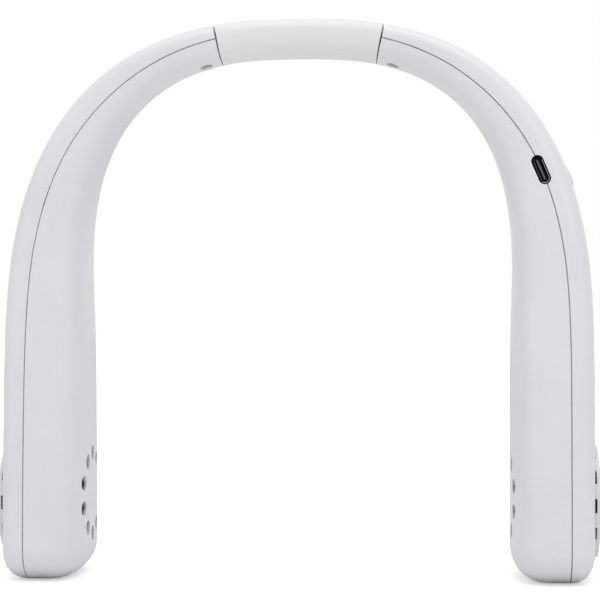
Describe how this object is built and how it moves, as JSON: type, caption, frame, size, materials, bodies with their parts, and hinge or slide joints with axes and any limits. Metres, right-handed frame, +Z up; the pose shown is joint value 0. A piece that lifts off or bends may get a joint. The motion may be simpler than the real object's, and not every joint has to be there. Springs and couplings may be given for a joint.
{
  "type": "neck fan",
  "caption": "U-shaped wearable fan for the neck with hinged hollow arms, a blower in each leg end, side intakes and slotted air outlets.",
  "frame": {"origin": "midway between the two feet, on the plane that they stand on", "axes": "+X to the right leg of the picture, +Y through the flat of the U away from the camera, +Z up the legs to the bridge"},
  "size_m": [0.1894, 0.0484, 0.1764],
  "materials": {
    "white_shell": "satin moulded white",
    "white_bridge": "soft satin white",
    "white_button": "satin white",
    "white_inner": "plain moulded",
    "fan_plastic": "plain moulded grey",
    "black_plastic": "black moulded",
    "grey_rubber": "matt grey",
    "steel": "bright",
    "core_steel": "dark laminated",
    "brass": "sintered",
    "copper_winding": "enamelled wire",
    "battery_skin": "pouch foil",
    "board": "solder mask",
    "wire_sleeve": "black sleeve"
  },
  "bodies": {
    "neck_bridge": {"bridge_sleeve": "white_bridge", "left_hinge_block": "white_inner", "right_hinge_block": "white_inner", "bridge_wire": "wire_sleeve"},
    "right_arm": {"right_outer_shell": "white_shell", "right_inner_shell": "white_shell", "right_intake_cover": "white_shell", "right_hinge_pin": "steel", "right_shell_screws": "steel", "right_screw_plugs": "grey_rubber", "right_fan_scroll": "white_inner", "right_duct_divider": "white_inner", "right_bearing_bush": "brass", "right_motor_base": "black_plastic", "right_stator_core": "core_steel", "right_stator_coils": "copper_winding", "right_battery": "battery_skin", "right_motor_lead": "wire_sleeve", "right_link_wire": "wire_sleeve", "control_board": "board", "board_parts": "black_plastic", "board_screws": "steel", "usb_shell": "steel", "usb_tongue": "black_plastic", "tact_switch": "black_plastic", "battery_lead": "wire_sleeve"},
    "right_fan": {"right_impeller": "fan_plastic", "right_rotor_ring": "core_steel", "right_motor_shaft": "steel"},
    "left_arm": {"left_outer_shell": "white_shell", "left_inner_shell": "white_shell", "left_intake_cover": "white_shell", "left_hinge_pin": "steel", "left_shell_screws": "steel", "left_screw_plugs": "grey_rubber", "left_fan_scroll": "white_inner", "left_duct_divider": "white_inner", "left_bearing_bush": "brass", "left_motor_base": "black_plastic", "left_stator_core": "core_steel", "left_stator_coils": "copper_winding", "left_battery": "battery_skin", "left_motor_lead": "wire_sleeve", "left_link_wire": "wire_sleeve"},
    "left_fan": {"left_impeller": "fan_plastic", "left_rotor_ring": "core_steel", "left_motor_shaft": "steel"},
    "button": {"power_button": "white_button", "switch_plunger": "black_plastic"}
  },
  "joints": [
    {"name": "right_arm_hinge", "type": "hinge", "parent": "neck_bridge", "child": "right_arm", "pos_m": [0.02845, 0, 0.16877], "axis": [0, -1, 0], "range_deg": [0, 6]},
    {"name": "left_arm_hinge", "type": "hinge", "parent": "neck_bridge", "child": "left_arm", "pos_m": [-0.02845, 0, 0.16877], "axis": [0, 1, 0], "range_deg": [0, 6]},
    {"name": "right_fan_spin", "type": "hinge", "parent": "right_arm", "child": "right_fan", "pos_m": [0.07915, 0, 0.0253], "axis": [1, 0, 0], "continuous": true},
    {"name": "left_fan_spin", "type": "hinge", "parent": "left_arm", "child": "left_fan", "pos_m": [-0.07915, 0, 0.0253], "axis": [-1, 0, 0], "continuous": true},
    {"name": "button_press", "type": "slide", "parent": "right_arm", "child": "button", "axis": [-0.9201, 0, -0.3916], "range_m": [0, 0.0005], "stiffness_N_per_m": 2000}
  ]
}
